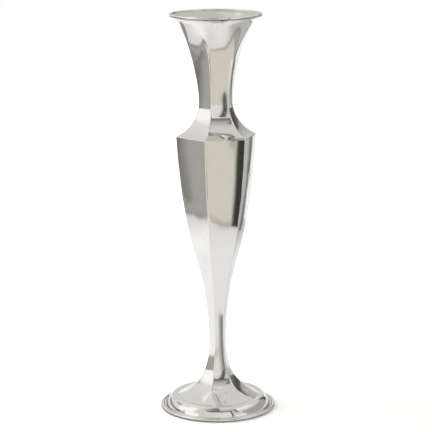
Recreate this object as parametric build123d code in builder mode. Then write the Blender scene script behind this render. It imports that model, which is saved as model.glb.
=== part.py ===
from build123d import *

import os
from math import cos, radians, sin, tan

# Six-panelled silver trumpet vase with a weighted foot, in millimetres.
# It stands on the XY plane with its axis on Z. One panel faces -Y, so two arrises lie on the XZ plane.
# Every lean is in degrees from upright. Every pull says how far a curve keeps to its end's direction,
# as a share of the curve's height, or of its width where that is said.

# Sheet silver and its arrises
WALL = 0.8
PANELS = 6
ARRIS_RADIUS = 1.5  # outside rounding where two panels meet
INSIDE_ARRIS = 0.4  # least rounding of the same corner inside
PANEL_TURN = 2.5  # degrees from a panel's middle to its edge: panels are very slightly crowned
ROUND_SHARE = 0.85  # part of its sixth that a panel takes where the outline is a circle

# Foot
FOOT_RADIUS = 51.0
FLANGE_LIFT = 0.3  # flat rim above the table, the baize takes the weight
FLANGE_INSET = 0.7  # the flat rim stops this far inside the border
OUTER_REED = 1.45  # radius of the wide reed of the border
INNER_REED = 0.95  # radius of the thin reed beside it
REED_LIFT = 1.0  # centre of both reeds above the flat rim
BORDER_GAP = 0.6  # plain strip of the rim between the reeds and the rounded band
BAND_WIDTH = 6.3  # foot of the rounded band to its crest
CREASE_WIDTH = 3.6  # crest to the valley between the rounded band and the panelled flare
VALLEY_HEIGHT = 10.9
CREST_RISE = 0.8  # crest above the valley
FLARE_HEIGHT = 54.1  # valley to the joint in the stem
FLARE_LEAN = 62.0  # inwards, where the flare leaves the valley
FLARE_FOOT_PULL = 0.85  # share of the flare's width
FLARE_STEM_PULL = 0.61
FLARE_ROUND_HEIGHT = 13.0  # the panels melt into the round valley over this height

# Body, from the joint in the stem to the shoulder
STEM_RADIUS = 7.5
LOWER_BODY_HEIGHT = 71.2  # joint to the level where the hollow sides turn full
LOWER_STEM_PULL = 0.31
LOWER_MIDDLE_PULL = 0.29
MIDDLE_RADIUS = 18.7
MIDDLE_LEAN = 18.4
UPPER_BODY_HEIGHT = 108.5  # that level to the shoulder
UPPER_MIDDLE_PULL = 0.315
UPPER_SHOULDER_PULL = 0.29
SHOULDER_RADIUS = 35.8
SHOULDER_LEAN = 3.3

# Neck and mouth
COVE_HEIGHT = 28.3  # shoulder to the waist of the neck
COVE_LEAN = 70.0  # inwards, where the cove leaves the shoulder
COVE_SHOULDER_PULL = 0.615  # share of the cove's width
COVE_WAIST_PULL = 0.42
WAIST_RADIUS = 15.3
TRUMPET_HEIGHT = 68.8  # waist to the throat
TRUMPET_WAIST_PULL = 0.276
TRUMPET_THROAT_PULL = 0.305
TRUMPET_ROUND_HEIGHT = 32.0  # the panels melt into the round mouth over this height
THROAT_RADIUS = 32.3
THROAT_LEAN = 27.0
LIP_RISE = 6.9  # throat to the centre of the mouth wire
MOUTH_RADIUS = 40.3
WIRE_RADIUS = 1.3

# Inside the weighted foot
BAIZE_THICKNESS = 0.9
BAIZE_INSET = 0.4
PLATE_THICKNESS = 0.8
PLATE_CLEARANCE = 0.1
FILLING_CLEARANCE = 0.1  # the filling shrinks this much as it sets
PLUG_BELOW = 9.0  # plug on each side of the joint in the stem
PLUG_ABOVE = 15.0
PLUG_CLEARANCE = 0.1
ROD_RADIUS = 2.5
ROD_CLEARANCE = 0.05
SOCKET_ROOF = 6.0  # plug left above the rod's socket

# Levels and radii that follow from these
flange_top = FLANGE_LIFT + WALL
plate_top = BAIZE_THICKNESS + PLATE_THICKNESS
outer_reed_centre = FOOT_RADIUS - OUTER_REED
inner_reed_centre = FOOT_RADIUS - 2 * OUTER_REED - INNER_REED
band_radius = inner_reed_centre - INNER_REED - BORDER_GAP
band_bore = band_radius - WALL
crest_radius = band_radius - BAND_WIDTH
crest_height = VALLEY_HEIGHT + CREST_RISE
valley_radius = crest_radius - CREASE_WIDTH
joint_level = VALLEY_HEIGHT + FLARE_HEIGHT
middle_level = joint_level + LOWER_BODY_HEIGHT
shoulder_level = middle_level + UPPER_BODY_HEIGHT
waist_level = shoulder_level + COVE_HEIGHT
throat_level = waist_level + TRUMPET_HEIGHT
wire_level = throat_level + LIP_RISE
wire_ring_radius = MOUTH_RADIUS - WIRE_RADIUS
plug_foot = joint_level - PLUG_BELOW
plug_top = joint_level + PLUG_ABOVE
socket_top = plug_top - SOCKET_ROOF
half_side = 180 / PANELS
round_turn = half_side * ROUND_SHARE


def handle(end, length, lean):
    """Handle of a curve: the point a length away from one of its ends, leaning outwards from upright."""
    return (end[0] + length * sin(radians(lean)), end[1] + length * cos(radians(lean)))


# Arris lines, drawn once on the XZ plane: every shell and filling takes its sections from them
valley = (valley_radius, VALLEY_HEIGHT)
joint = (STEM_RADIUS, joint_level)
middle = (MIDDLE_RADIUS, middle_level)
shoulder = (SHOULDER_RADIUS, shoulder_level)
waist = (WAIST_RADIUS, waist_level)
throat = (THROAT_RADIUS, throat_level)
with BuildLine(Plane.XZ):
    flare_line = Bezier(
        valley,
        handle(valley, FLARE_FOOT_PULL * (valley_radius - STEM_RADIUS), -FLARE_LEAN),
        handle(joint, -FLARE_STEM_PULL * FLARE_HEIGHT, 0),
        joint,
    )
    lower_body_line = Bezier(
        joint,
        handle(joint, LOWER_STEM_PULL * LOWER_BODY_HEIGHT, 0),
        handle(middle, -LOWER_MIDDLE_PULL * LOWER_BODY_HEIGHT, MIDDLE_LEAN),
        middle,
    )
    upper_body_line = Bezier(
        middle,
        handle(middle, UPPER_MIDDLE_PULL * UPPER_BODY_HEIGHT, MIDDLE_LEAN),
        handle(shoulder, -UPPER_SHOULDER_PULL * UPPER_BODY_HEIGHT, SHOULDER_LEAN),
        shoulder,
    )
    cove_line = Bezier(
        shoulder,
        handle(shoulder, COVE_SHOULDER_PULL * (SHOULDER_RADIUS - WAIST_RADIUS), -COVE_LEAN),
        handle(waist, -COVE_WAIST_PULL * COVE_HEIGHT, 0),
        waist,
    )
    trumpet_line = Bezier(
        waist,
        handle(waist, TRUMPET_WAIST_PULL * TRUMPET_HEIGHT, 0),
        handle(throat, -TRUMPET_THROAT_PULL * TRUMPET_HEIGHT, THROAT_LEAN),
        throat,
    )


def roundness(level):
    """How far the outline at a level has turned from six panels (0) to a circle (1)."""
    to_mouth = 1 - (throat_level - level) / TRUMPET_ROUND_HEIGHT
    to_foot = 1 - (level - VALLEY_HEIGHT) / FLARE_ROUND_HEIGHT
    return max(to_mouth, to_foot, 0) ** 2


def cross_section(line, share, walls, clearance):
    """One level's outline: six arrises joined by six panel arcs, all tangent to each other.

    The outline lies a share of the way along an arris line, and inside the outer face by a number of wall
    thicknesses, measured square to the sheet, and a clearance. The arcs stay apart where they share a circle,
    so that the outlines of a loft all have the same edges.
    """
    arris_point = line @ share
    steepness = (line % share).Z
    rounded = roundness(arris_point.Z)
    turn = PANEL_TURN + (round_turn - PANEL_TURN) * rounded
    arris = ARRIS_RADIUS + (arris_point.X - ARRIS_RADIUS) * rounded
    flatness = cos(radians(half_side)) + sin(radians(half_side)) * tan(radians(turn / 2))
    inset = walls * WALL / steepness + clearance
    panel_middle = (arris_point.X - arris) * flatness + arris - inset
    arris = max(arris - inset, INSIDE_ARRIS)
    reach = (panel_middle - arris) / flatness
    bow = reach * sin(radians(half_side)) / sin(radians(turn))
    bow_reach = reach * cos(radians(half_side)) - bow * cos(radians(turn))
    arcs = []
    with BuildSketch():
        for side in range(PANELS):
            corner = 2 * half_side * side
            facing = corner + half_side
            arris_centre = Vector(reach, 0).rotate(Axis.Z, corner)
            bow_centre = Vector(bow_reach, 0).rotate(Axis.Z, facing)
            with BuildLine():
                arris_arc = CenterArc(arris_centre, arris, corner - half_side + turn, 2 * (half_side - turn))
            with BuildLine():
                panel_arc = CenterArc(bow_centre, arris + bow, facing - turn, 2 * turn)
            arcs += [arris_arc, panel_arc]
        outline = make_face(arcs, mode=Mode.PRIVATE)
    return Plane.XY.offset(arris_point.Z) * outline


def sections(line, count, first=0.0, last=1.0, walls=0, clearance=0):
    """Evenly spaced outlines along part of an arris line."""
    step = (last - first) / (count - 1)
    return [cross_section(line, first + step * index, walls, clearance) for index in range(count)]


def share_at(line, level):
    """Share of the way along a rising arris line at which it reaches a level."""
    low = 0.0
    high = 1.0
    for _ in range(40):
        half_way = (low + high) / 2
        if (line @ half_way).Z < level:
            low = half_way
        else:
            high = half_way
    return low


def band_hollow(clearance=0):
    """Half section of the space inside the foot's rounded band, from the flat rim up to the valley."""
    side = band_bore - clearance
    crest = crest_height - WALL - clearance
    crease = VALLEY_HEIGHT - WALL - clearance
    bore = valley_radius - WALL / cos(radians(FLARE_LEAN)) - clearance
    with BuildSketch(Plane.XZ) as hollow:
        with BuildLine():
            Polyline(
                (side, flange_top),
                (side, FLANGE_LIFT),
                (0, FLANGE_LIFT),
                (0, VALLEY_HEIGHT),
                (bore, VALLEY_HEIGHT),
                (bore, crease),
                (valley_radius, crease),
                (crest_radius, crest),
            )
            EllipticalCenterArc(
                (crest_radius, flange_top),
                side - crest_radius,
                crest - flange_top,
                start_angle=0,
                arc_size=90,
            )
        make_face()
    return hollow.sketch


os.makedirs("parts", exist_ok=True)

# Mouth wire: a round wire applied to the edge of the lip
with BuildPart() as mouth_wire:
    with BuildSketch(Plane.XZ):
        with Locations((wire_ring_radius, wire_level)):
            Circle(WIRE_RADIUS)
    revolve(axis=Axis.Z)
mouth_wire.part.label = "mouth_wire"
export_step(mouth_wire.part, "parts/mouth_wire.step")

# Trumpet neck: cove, waist and trumpet in one sheet, six panels below and round at the lip
throat_bore = THROAT_RADIUS - WALL / cos(radians(THROAT_LEAN))
lip_start = (sin(radians(THROAT_LEAN)), cos(radians(THROAT_LEAN)))
with BuildPart() as trumpet_neck:
    loft(sections(cove_line, 7) + sections(trumpet_line, 13)[1:])
    inside = sections(cove_line, 7, walls=1) + sections(trumpet_line, 13, walls=1)[1:]
    loft(inside, mode=Mode.SUBTRACT)
    with BuildSketch(Plane.XZ):
        with BuildLine():
            under_lip = TangentArc(
                (THROAT_RADIUS, throat_level), (wire_ring_radius, wire_level - WALL / 2), tangent=lip_start
            )
            over_lip = TangentArc(
                (throat_bore, throat_level), (wire_ring_radius, wire_level + WALL / 2), tangent=lip_start
            )
            Line(under_lip @ 0, over_lip @ 0)
            Line(under_lip @ 1, over_lip @ 1)
        make_face()
    revolve(axis=Axis.Z)
    with BuildSketch(Plane.XZ):
        with Locations((wire_ring_radius, wire_level)):
            Circle(WIRE_RADIUS)
    revolve(axis=Axis.Z, mode=Mode.SUBTRACT)
trumpet_neck.part.label = "trumpet_neck"
export_step(trumpet_neck.part, "parts/trumpet_neck.step")

# Body: six tall panels from the joint in the stem up to the shoulder
with BuildPart() as body_shell:
    loft(sections(lower_body_line, 6) + sections(upper_body_line, 7)[1:])
    inside = sections(lower_body_line, 6, walls=1) + sections(upper_body_line, 7, walls=1)[1:]
    loft(inside, mode=Mode.SUBTRACT)
body_shell.part.label = "body_shell"
export_step(body_shell.part, "parts/body_shell.step")

# Stem plug: closes the water space, lines the body up on the foot and takes the rod's end
plug_low_share = share_at(flare_line, plug_foot)
plug_high_share = share_at(lower_body_line, plug_top)
with BuildPart() as stem_plug:
    loft(sections(flare_line, 5, plug_low_share, 1.0, walls=1, clearance=PLUG_CLEARANCE))
    loft(sections(lower_body_line, 5, 0.0, plug_high_share, walls=1, clearance=PLUG_CLEARANCE))
    with BuildSketch(Plane.XY.offset(plug_foot)):
        Circle(ROD_RADIUS + ROD_CLEARANCE)
    extrude(amount=socket_top - plug_foot, mode=Mode.SUBTRACT)
stem_plug.part.label = "stem_plug"
export_step(stem_plug.part, "parts/stem_plug.step")

# Foot: panelled flare above the valley, rounded band and flat rim below it
with BuildPart() as foot_shell:
    loft(sections(flare_line, 12))
    with BuildSketch(Plane.XZ):
        with BuildLine():
            Polyline(
                (band_radius, flange_top),
                (FOOT_RADIUS - FLANGE_INSET, flange_top),
                (FOOT_RADIUS - FLANGE_INSET, FLANGE_LIFT),
                (0, FLANGE_LIFT),
                (0, VALLEY_HEIGHT),
                valley,
            )
            TangentArc((crest_radius, crest_height), valley, tangent=(-1, 0))
            EllipticalCenterArc(
                (crest_radius, flange_top),
                band_radius - crest_radius,
                crest_height - flange_top,
                start_angle=0,
                arc_size=90,
            )
        make_face()
    revolve(axis=Axis.Z)
    loft(sections(flare_line, 12, walls=1), mode=Mode.SUBTRACT)
    revolve(band_hollow(), axis=Axis.Z, mode=Mode.SUBTRACT)
foot_shell.part.label = "foot_shell"
export_step(foot_shell.part, "parts/foot_shell.step")

# Reeded border: a drawn strip of two reeds on the flat rim
with BuildPart() as foot_reeding:
    with BuildSketch(Plane.XZ):
        with Locations((outer_reed_centre, flange_top + REED_LIFT)):
            Circle(OUTER_REED)
        with Locations((inner_reed_centre, flange_top + REED_LIFT)):
            Circle(INNER_REED)
        with Locations((inner_reed_centre, flange_top)):
            Rectangle(outer_reed_centre - inner_reed_centre, REED_LIFT, align=(Align.MIN, Align.MIN))
        with Locations((inner_reed_centre - INNER_REED, flange_top)):
            Rectangle(FOOT_RADIUS, OUTER_REED, align=(Align.MIN, Align.MAX), mode=Mode.SUBTRACT)
    revolve(axis=Axis.Z)
foot_reeding.part.label = "foot_reeding"
export_step(foot_reeding.part, "parts/foot_reeding.step")

# Filling: pitch poured into the foot round the rod
with BuildPart() as foot_filling:
    loft(sections(flare_line, 10, 0.0, plug_low_share, walls=1, clearance=FILLING_CLEARANCE))
    revolve(band_hollow(FILLING_CLEARANCE), axis=Axis.Z)
    split(bisect_by=Plane.XY.offset(plate_top), keep=Keep.TOP)
    with BuildSketch(Plane.XY.offset(plate_top)):
        Circle(ROD_RADIUS + ROD_CLEARANCE)
    extrude(amount=plug_foot - plate_top, mode=Mode.SUBTRACT)
foot_filling.part.label = "foot_filling"
export_step(foot_filling.part, "parts/foot_filling.step")

# Reinforcing rod: stands on the base plate and ends in the plug's socket
with BuildPart() as reinforcing_rod:
    with BuildSketch(Plane.XY.offset(plate_top)):
        Circle(ROD_RADIUS)
    extrude(amount=socket_top - ROD_CLEARANCE - plate_top)
reinforcing_rod.part.label = "reinforcing_rod"
export_step(reinforcing_rod.part, "parts/reinforcing_rod.step")

# Base plate: closes the weighted foot
with BuildPart() as base_plate:
    with BuildSketch(Plane.XY.offset(BAIZE_THICKNESS)):
        Circle(band_bore - PLATE_CLEARANCE)
    extrude(amount=PLATE_THICKNESS)
base_plate.part.label = "base_plate"
export_step(base_plate.part, "parts/base_plate.step")

# Baize pad: felt disc under the plate, on which the vase stands
with BuildPart() as baize_pad:
    with BuildSketch(Plane.XY):
        Circle(band_bore - BAIZE_INSET)
    extrude(amount=BAIZE_THICKNESS)
baize_pad.part.label = "baize_pad"
export_step(baize_pad.part, "parts/baize_pad.step")
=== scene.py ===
"""Looks of the six-panelled silver trumpet vase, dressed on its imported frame.

Sizes in the classes are in millimetres, as the vase was measured, and meshes are in metres.
"""

import logging
import math
from dataclasses import dataclass
from enum import Enum

import bmesh
import bpy
from mathutils import Matrix, Vector, noise


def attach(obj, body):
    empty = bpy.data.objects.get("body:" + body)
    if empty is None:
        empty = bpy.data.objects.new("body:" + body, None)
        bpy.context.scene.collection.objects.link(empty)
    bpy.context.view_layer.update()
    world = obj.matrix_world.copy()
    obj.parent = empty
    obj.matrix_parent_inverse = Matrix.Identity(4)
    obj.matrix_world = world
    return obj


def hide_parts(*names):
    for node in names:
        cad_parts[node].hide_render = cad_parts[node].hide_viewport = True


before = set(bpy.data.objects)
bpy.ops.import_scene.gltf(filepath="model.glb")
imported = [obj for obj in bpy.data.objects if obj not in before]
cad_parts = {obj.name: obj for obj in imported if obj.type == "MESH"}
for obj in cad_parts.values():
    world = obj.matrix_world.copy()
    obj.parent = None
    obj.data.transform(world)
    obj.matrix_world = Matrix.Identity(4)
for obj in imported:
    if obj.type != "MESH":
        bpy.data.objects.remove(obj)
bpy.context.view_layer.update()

log = logging.getLogger("trumpet_vase")
MM = 0.001


class Slot(Enum):
    """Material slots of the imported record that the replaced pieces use."""

    SHEET = "sheet_silver"
    WIRE = "wire_silver"
    BAIZE = "baize"


class Wall(Enum):
    """Side of the sheet that a run of the profile belongs to."""

    OUTSIDE = 0.0
    INSIDE = 1.0


def held(share: float) -> float:
    """Holds a share between 0 and 1."""
    return min(max(share, 0.0), 1.0)


@dataclass(frozen=True)
class PanelPlan:
    """Cross-section of the vase: six arrises joined by slightly crowned panels, or a circle.

    Turns are in radians. Slots are the steps of the spin that makes each shell: some go to every
    arris and the rest to the panel beside it, so that the arrises stay crisp.
    """

    panels: int = 6
    arris_radius: float = 1.5
    inside_arris: float = 0.4
    panel_turn: float = math.radians(2.5)
    round_share: float = 0.85
    arris_slots: int = 8
    panel_slots: int = 24

    @property
    def slots(self) -> int:
        """Number of spin steps round the vase."""
        return self.panels * (self.arris_slots + self.panel_slots)

    def point(self, slot: int, radius: float, rounded: float, inset: float) -> tuple[float, float]:
        """Works out where a spin step lies on the pressed outline.

        Args:
            slot: Step of the spin, counted from the arris on +X.
            radius: Radius of the outer arris at this level.
            rounded: 0 for six panels, 1 for a circle.
            inset: Distance inside the outer face.

        Returns:
            The point's x and y in millimetres.
        """
        half = math.pi / self.panels
        turn = self.panel_turn + (half * self.round_share - self.panel_turn) * rounded
        arris = self.arris_radius + (radius - self.arris_radius) * rounded
        flatness = math.cos(half) + math.sin(half) * math.tan(turn / 2)
        panel_middle = (radius - arris) * flatness + arris - inset
        arris = max(arris - inset, self.inside_arris)
        reach = (panel_middle - arris) / flatness
        side, step = divmod(slot + self.arris_slots // 2, self.arris_slots + self.panel_slots)
        corner = 2 * half * side
        if step <= self.arris_slots:
            angle = corner + (half - turn) * (2 * step / self.arris_slots - 1)
            return (
                reach * math.cos(corner) + arris * math.cos(angle),
                reach * math.sin(corner) + arris * math.sin(angle),
            )
        bow = reach * math.sin(half) / math.sin(turn)
        bow_reach = reach * math.cos(half) - bow * math.cos(turn)
        facing = corner + half
        angle = facing + turn * (2 * (step - self.arris_slots) / self.panel_slots - 1)
        return (
            bow_reach * math.cos(facing) + (arris + bow) * math.cos(angle),
            bow_reach * math.sin(facing) + (arris + bow) * math.sin(angle),
        )


@dataclass(frozen=True)
class ArrisCurve:
    """One curve of the arris line, from a lower to an upper end, as (radius, level) pairs."""

    start: tuple[float, float]
    start_handle: tuple[float, float]
    end_handle: tuple[float, float]
    end: tuple[float, float]

    def at(self, share: float) -> tuple[float, float]:
        """Finds a point of the curve.

        Args:
            share: Share of the way from the start to the end.

        Returns:
            Radius and level.
        """
        rest = 1 - share
        weights = (rest**3, 3 * rest * rest * share, 3 * rest * share * share, share**3)
        ends = (self.start, self.start_handle, self.end_handle, self.end)
        return (
            sum(weight * end[0] for weight, end in zip(weights, ends)),
            sum(weight * end[1] for weight, end in zip(weights, ends)),
        )

    def tangent(self, share: float) -> tuple[float, float]:
        """Finds the upward direction of the curve.

        Args:
            share: Share of the way from the start to the end.

        Returns:
            Radial and vertical part of the unit tangent.
        """
        rest = 1 - share
        weights = (rest * rest, 2 * rest * share, share * share)
        ends = (self.start, self.start_handle, self.end_handle, self.end)
        run = sum(w * (b[0] - a[0]) for w, a, b in zip(weights, ends, ends[1:]))
        rise = sum(w * (b[1] - a[1]) for w, a, b in zip(weights, ends, ends[1:]))
        length = math.hypot(run, rise)
        return run / length, rise / length


def lean_point(end: tuple[float, float], length: float, lean: float) -> tuple[float, float]:
    """Finds a curve handle.

    Args:
        end: Radius and level of the curve's end.
        length: Distance of the handle from that end, negative downwards.
        lean: Degrees that the handle leans outwards from upright.

    Returns:
        Radius and level of the handle.
    """
    return end[0] + length * math.sin(math.radians(lean)), end[1] + length * math.cos(math.radians(lean))


@dataclass(frozen=True)
class VaseLines:
    """Levels, radii and arris curves that the pieces share."""

    wall: float = 0.8
    valley: tuple[float, float] = (35.7, 10.9)
    joint: tuple[float, float] = (7.5, 65.0)
    middle: tuple[float, float] = (18.7, 136.2)
    shoulder: tuple[float, float] = (35.8, 244.7)
    waist: tuple[float, float] = (15.3, 273.0)
    throat: tuple[float, float] = (32.3, 341.8)
    throat_lean: float = 27.0
    mouth_round_height: float = 32.0
    foot_round_height: float = 13.0
    seam_reach: float = 0.55
    plan: PanelPlan = PanelPlan()

    @property
    def flare(self) -> ArrisCurve:
        """Curve of the foot, from the valley to the joint in the stem."""
        return ArrisCurve(
            self.valley,
            lean_point(self.valley, 0.85 * (self.valley[0] - self.joint[0]), -62.0),
            lean_point(self.joint, -0.61 * (self.joint[1] - self.valley[1]), 0.0),
            self.joint,
        )

    @property
    def lower_body(self) -> ArrisCurve:
        """Hollow curve from the joint in the stem to the middle of the body."""
        height = self.middle[1] - self.joint[1]
        return ArrisCurve(
            self.joint,
            lean_point(self.joint, 0.31 * height, 0.0),
            lean_point(self.middle, -0.29 * height, 18.4),
            self.middle,
        )

    @property
    def upper_body(self) -> ArrisCurve:
        """Full curve from the middle of the body to the shoulder."""
        height = self.shoulder[1] - self.middle[1]
        return ArrisCurve(
            self.middle,
            lean_point(self.middle, 0.315 * height, 18.4),
            lean_point(self.shoulder, -0.29 * height, 3.3),
            self.shoulder,
        )

    @property
    def cove(self) -> ArrisCurve:
        """Hollow curve from the shoulder to the waist of the neck."""
        return ArrisCurve(
            self.shoulder,
            lean_point(self.shoulder, 0.615 * (self.shoulder[0] - self.waist[0]), -70.0),
            lean_point(self.waist, -0.42 * (self.waist[1] - self.shoulder[1]), 0.0),
            self.waist,
        )

    @property
    def trumpet(self) -> ArrisCurve:
        """Flaring curve from the waist to the throat."""
        height = self.throat[1] - self.waist[1]
        return ArrisCurve(
            self.waist,
            lean_point(self.waist, 0.276 * height, 0.0),
            lean_point(self.throat, -0.305 * height, self.throat_lean),
            self.throat,
        )

    @property
    def body_end(self) -> float:
        """Share of the upper body's curve where the rounding of the shoulder's seam starts."""
        return 1 - self.seam_reach / (3 * math.dist(self.upper_body.end_handle, self.upper_body.end))

    @property
    def cove_start(self) -> float:
        """Share of the cove's curve where the rounding of the shoulder's seam ends."""
        return self.seam_reach / (3 * math.dist(self.cove.start, self.cove.start_handle))

    def seam(self, first: float, last: float, count: int) -> list[tuple[float, float]]:
        """Follows part of the polished rounding over the soldered seam at the shoulder.

        Args:
            first: Share of the rounding at the first point: 0 on the body, 1 on the neck.
            last: Share of the rounding at the last point.
            count: Number of points.

        Returns:
            Radius and level of each point.
        """
        low = self.upper_body.at(self.body_end)
        high = self.cove.at(self.cove_start)
        points = []
        for index in range(count):
            share = first + (last - first) * index / (count - 1)
            weights = ((1 - share) ** 2, 2 * share * (1 - share), share**2)
            ends = (low, self.shoulder, high)
            points.append(tuple(sum(w * end[i] for w, end in zip(weights, ends)) for i in (0, 1)))
        return points

    def rounded(self, level: float) -> float:
        """Says how far the outline at a level has turned from panels to a circle.

        Args:
            level: Height above the table.

        Returns:
            0 for six panels, 1 for a circle.
        """
        to_mouth = 1 - (self.throat[1] - level) / self.mouth_round_height
        to_foot = 1 - (level - self.valley[1]) / self.foot_round_height
        return held(max(to_mouth, to_foot)) ** 2


@dataclass(frozen=True)
class ProfilePoint:
    """Point of a shell's half section before it is spun and pressed.

    A worked point lies on an outer face that hammer, polish and use have left a little uneven.
    """

    radius: float
    level: float
    rounded: float = 1.0
    inset: float = 0.0
    worked: bool = True


@dataclass(frozen=True)
class Dent:
    """Shallow knock in the sheet: its azimuth from -Y, level, depth and width."""

    azimuth: float
    level: float
    depth: float
    width: float


@dataclass(frozen=True)
class HandWork:
    """Unevenness that raising, planishing and use leave in the sheet, in millimetres.

    The ripple runs mostly up and down, the way the panels were planished.
    """

    swell: float = 0.07
    swell_length: float = 34.0
    ripple: float = 0.03
    ripple_length: float = 8.0
    ripple_draw: float = 0.4
    seed: float = 3.7
    dents: tuple[Dent, ...] = ()

    def lift(self, place: Vector) -> float:
        """Works out how far the sheet stands off its true form.

        Args:
            place: Point of the sheet in metres.

        Returns:
            Distance along the normal in millimetres.
        """
        spot = place / MM
        shift = Vector((self.seed, -self.seed, 2 * self.seed))
        drawn = Vector((spot.x, spot.y, spot.z * self.ripple_draw))
        rise = self.swell * noise.noise(spot / self.swell_length + shift)
        rise += self.ripple * noise.noise(drawn / self.ripple_length - shift)
        for dent in self.dents:
            angle = math.atan2(spot.x, -spot.y) - math.radians(dent.azimuth)
            angle = (angle + math.pi) % math.tau - math.pi
            gap = math.hypot(angle * math.hypot(spot.x, spot.y), spot.z - dent.level)
            rise -= dent.depth * math.exp(-((gap / dent.width) ** 2))
        return rise


class MaterialBoard:
    """Places and joins the nodes of one material or node group."""

    def __init__(self, tree: bpy.types.NodeTree) -> None:
        """Clears the tree and keeps it."""
        self.tree = tree
        tree.nodes.clear()

    def add(self, kind: str, **settings: object) -> bpy.types.Node:
        """Adds a node.

        Args:
            kind: Node type without its ShaderNode prefix, or a full type name.
            settings: Node properties to set.

        Returns:
            The new node.
        """
        known = kind if kind.startswith("Node") else "ShaderNode" + kind
        node = self.tree.nodes.new(known)
        for name, value in settings.items():
            setattr(node, name, value)
        return node

    def join(self, source: bpy.types.NodeSocket, target: bpy.types.NodeSocket) -> None:
        """Links two sockets."""
        self.tree.links.new(source, target)

    def feed(self, place: bpy.types.NodeSocket, value: object) -> None:
        """Links a socket to an input, or sets the input to a number or a colour."""
        if isinstance(value, bpy.types.NodeSocket):
            self.join(value, place)
        elif isinstance(value, tuple):
            place.default_value = (*value, 1.0)
        else:
            place.default_value = value

    def math(
        self, operation: str, first: object, second: object = 0.5, clamp: bool = False
    ) -> bpy.types.NodeSocket:
        """Adds a Math node.

        Args:
            operation: Blender's name of the operation.
            first: Socket or number of the first input.
            second: Socket or number of the second input.
            clamp: Whether the result is held between 0 and 1.

        Returns:
            The result's socket.
        """
        node = self.add("Math", operation=operation, use_clamp=clamp)
        for place, value in zip(node.inputs, (first, second)):
            self.feed(place, value)
        return node.outputs[0]

    def ramp(self, source: bpy.types.NodeSocket, low: float, high: float) -> bpy.types.NodeSocket:
        """Adds a smooth step.

        Args:
            source: Value to step.
            low: Value that becomes 0.
            high: Value that becomes 1.

        Returns:
            The stepped value's socket.
        """
        node = self.add("MapRange", interpolation_type="SMOOTHSTEP")
        self.join(source, node.inputs["Value"])
        node.inputs["From Min"].default_value = low
        node.inputs["From Max"].default_value = high
        return node.outputs["Result"]

    def blend(self, share: object, low: object, high: object) -> bpy.types.NodeSocket:
        """Mixes two colours.

        Args:
            share: Socket or number of the second colour's share.
            low: Socket or colour at 0.
            high: Socket or colour at 1.

        Returns:
            The mixed colour's socket.
        """
        node = self.add("Mix", data_type="RGBA")
        for index, value in ((0, share), (6, low), (7, high)):
            self.feed(node.inputs[index], value)
        return node.outputs[2]

    def noise(
        self, place: bpy.types.NodeSocket, scale: object, detail: float = 2.0, distortion: float = 0.0
    ) -> bpy.types.NodeSocket:
        """Adds a noise texture.

        Args:
            place: Socket of the place.
            scale: Socket or number of the scale.
            detail: Number of finer layers.
            distortion: How far the pattern is twisted.

        Returns:
            The noise value's socket.
        """
        node = self.add("TexNoise")
        self.join(place, node.inputs["Vector"])
        self.feed(node.inputs["Scale"], scale)
        node.inputs["Detail"].default_value = detail
        node.inputs["Distortion"].default_value = distortion
        return node.outputs["Fac"]

    def length(self, place: bpy.types.NodeSocket) -> bpy.types.NodeSocket:
        """Measures how far a place lies from the origin."""
        node = self.add("VectorMath", operation="LENGTH")
        self.join(place, node.inputs[0])
        return node.outputs["Value"]


class SurfaceBoard(MaterialBoard):
    """Board of a new material with a Principled shader."""

    def __init__(self, name: str) -> None:
        """Makes the material and its shader."""
        self.material = bpy.data.materials.new(name)
        self.material.use_nodes = True
        super().__init__(self.material.node_tree)
        self.shader = self.add("BsdfPrincipled")
        leave = self.add("OutputMaterial")
        self.join(self.shader.outputs["BSDF"], leave.inputs["Surface"])

    def give(self, label: str, value: object) -> None:
        """Links a socket to one of the shader's inputs, or sets that input."""
        self.feed(self.shader.inputs[label], value)

    def bump(self, height: bpy.types.NodeSocket, strength: float, distance: float) -> None:
        """Roughens the shader's normal.

        Args:
            height: Socket of the height.
            strength: Strength of the bump.
            distance: Height of the bump in metres.
        """
        node = self.add("Bump")
        node.inputs["Strength"].default_value = strength
        node.inputs["Distance"].default_value = distance
        self.join(height, node.inputs["Height"])
        self.give("Normal", node.outputs["Normal"])


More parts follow.
